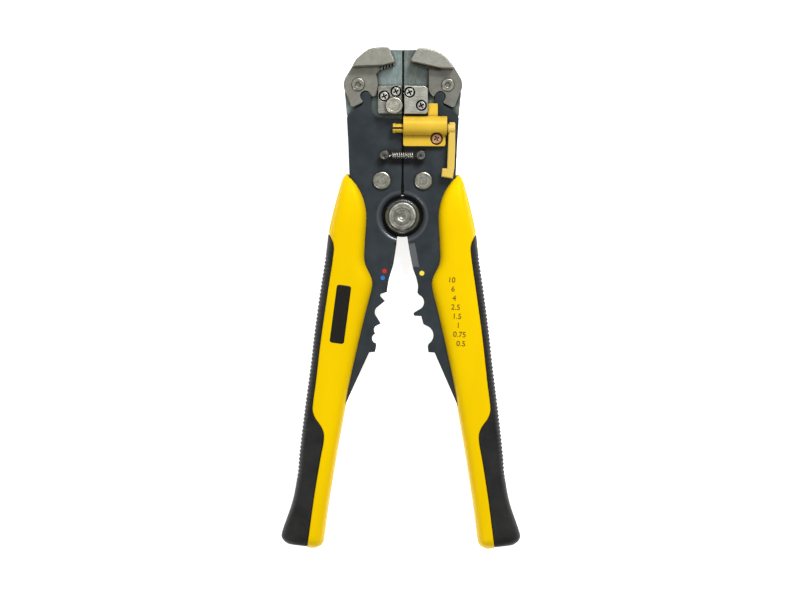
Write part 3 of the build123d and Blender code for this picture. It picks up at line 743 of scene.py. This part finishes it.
def spring_path():
    """Centre line of the spring's wire, and where its coil starts and ends in that list of points."""
    low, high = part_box("return_spring")
    middle = (low + high) / 2 / MM
    points = loop_round(centre_of("left_spring_post") / MM, middle.z, 20)
    start = len(points)
    for k in range(COIL_TURNS * COIL_STEPS + 1):
        a = 2 * math.pi * k / COIL_STEPS - math.pi / 2
        x = middle.x - COIL_HALF + 2 * COIL_HALF * k / (COIL_TURNS * COIL_STEPS)
        points.append((x, middle.y + COIL_R * math.cos(a), middle.z + COIL_R * math.sin(a)))
    end = len(points)
    points += loop_round(centre_of("right_spring_post") / MM, middle.z, -160)
    return points, start, end


def make_spring():
    """The spring in three stretches of wire: each end loop with a third of the coil, and the middle
    third.
    """
    points, start, end = spring_path()
    third = (end - start) // 3
    cuts = [0, start + third, start + 2 * third, len(points) - 1]
    names = ("spring_left_end", "spring_coil", "spring_right_end")
    for i, name in enumerate(names):
        piece = tube(name, points[cuts[i] : cuts[i + 1] + 1], WIRE_R)
        piece.data.materials.append(materials["spring_steel"])
        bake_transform(piece)
        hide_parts("return_spring")


# ---- stage -------------------------------------------------------------------------------------
def area_light(name, place, target, size, power):
    lamp = bpy.data.lights.new(name, "AREA")
    lamp.shape = "DISK"
    lamp.size = size
    lamp.energy = power
    holder = bpy.data.objects.new(name, lamp)
    holder.location = place
    holder.rotation_mode = "QUATERNION"
    holder.rotation_quaternion = (Vector(target) - Vector(place)).to_track_quat("-Z", "Y")
    bpy.context.scene.collection.objects.link(holder)


def make_stage():
    """A pale floor that glows, two soft lights and a studio that is brighter overhead."""
    mesh = bpy.data.meshes.new("floor")
    reach = 4.0
    corners = [(-reach, -reach, 0), (reach, -reach, 0), (reach, reach, 0), (-reach, reach, 0)]
    mesh.from_pydata([(x, y, z - 0.0002) for x, y, z in corners], [], [(0, 1, 2, 3)])
    floor = bpy.data.objects.new("floor", mesh)
    bpy.context.scene.collection.objects.link(floor)
    s = Shader("floor_paper", Roughness=0.9, Specular_IOR_Level=0.1, Emission_Strength=0.75)
    s.set(s.surface, {"Emission_Color": (1.0, 1.0, 1.0, 1.0)})
    fine = s.noise(0.6, 3.0)
    white = s.mix(s.spread(fine, 0.3, 0.7), (0.93, 0.93, 0.93), (0.96, 0.96, 0.96))
    mesh.materials.append(s.finish(Base_Color=white))
    centre = (cad_low + cad_high) / 2
    area_light("key", (centre.x + 0.4, centre.y + 0.92, 1.0), centre, 0.5, 18.5)
    area_light("fill", (centre.x - 0.9, centre.y - 0.75, 1.0), centre, 0.5, 6.0)
    world = bpy.data.worlds.new("studio")
    bpy.context.scene.world = world
    world.use_nodes = True
    tree = world.node_tree
    background = tree.nodes["Background"]
    split = tree.nodes.new("ShaderNodeSeparateXYZ")
    tree.links.new(tree.nodes.new("ShaderNodeTexCoord").outputs["Generated"], split.inputs[0])
    ramp = tree.nodes.new("ShaderNodeMapRange")
    tree.links.new(split.outputs["Z"], ramp.inputs["Value"])
    for name, number in zip(MAP_ENDS, (0.3, 0.9, 0.1, 0.56)):
        ramp.inputs[name].default_value = number
    tree.links.new(ramp.outputs["Result"], background.inputs["Strength"])
    background.inputs["Color"].default_value = (1.0, 1.0, 1.0, 1.0)
    bpy.context.scene.view_settings.view_transform = "Standard"


def make_camera():
    """Straight above the tool with a long lens, turned very slightly."""
    lens = bpy.data.cameras.new("camera")
    lens.lens = 180.0
    lens.sensor_width = 36.0
    lens.clip_start = 0.05
    camera = bpy.data.objects.new("camera", lens)
    pivot = centre_of("pivot_bolt")
    camera.location = (pivot.x - 0.00082, pivot.y - 0.03417, 1.6455)
    camera.rotation_euler = (0.0, 0.0, math.radians(0.27))
    bpy.context.scene.collection.objects.link(camera)
    bpy.context.scene.camera = camera


make_camera()
make_stage()
materials = make_materials()
for entry in frame["record"]["subparts"]:
    piece = frame["nodes"][entry["node"]]
    piece.data.materials.clear()
    piece.data.materials.append(materials[OWN_MATERIAL.get(entry["node"], entry["material_slot"])])
for name, side in SIDES.items():
    make_handle(name, side)
make_label()
make_size_marks()
make_spring()
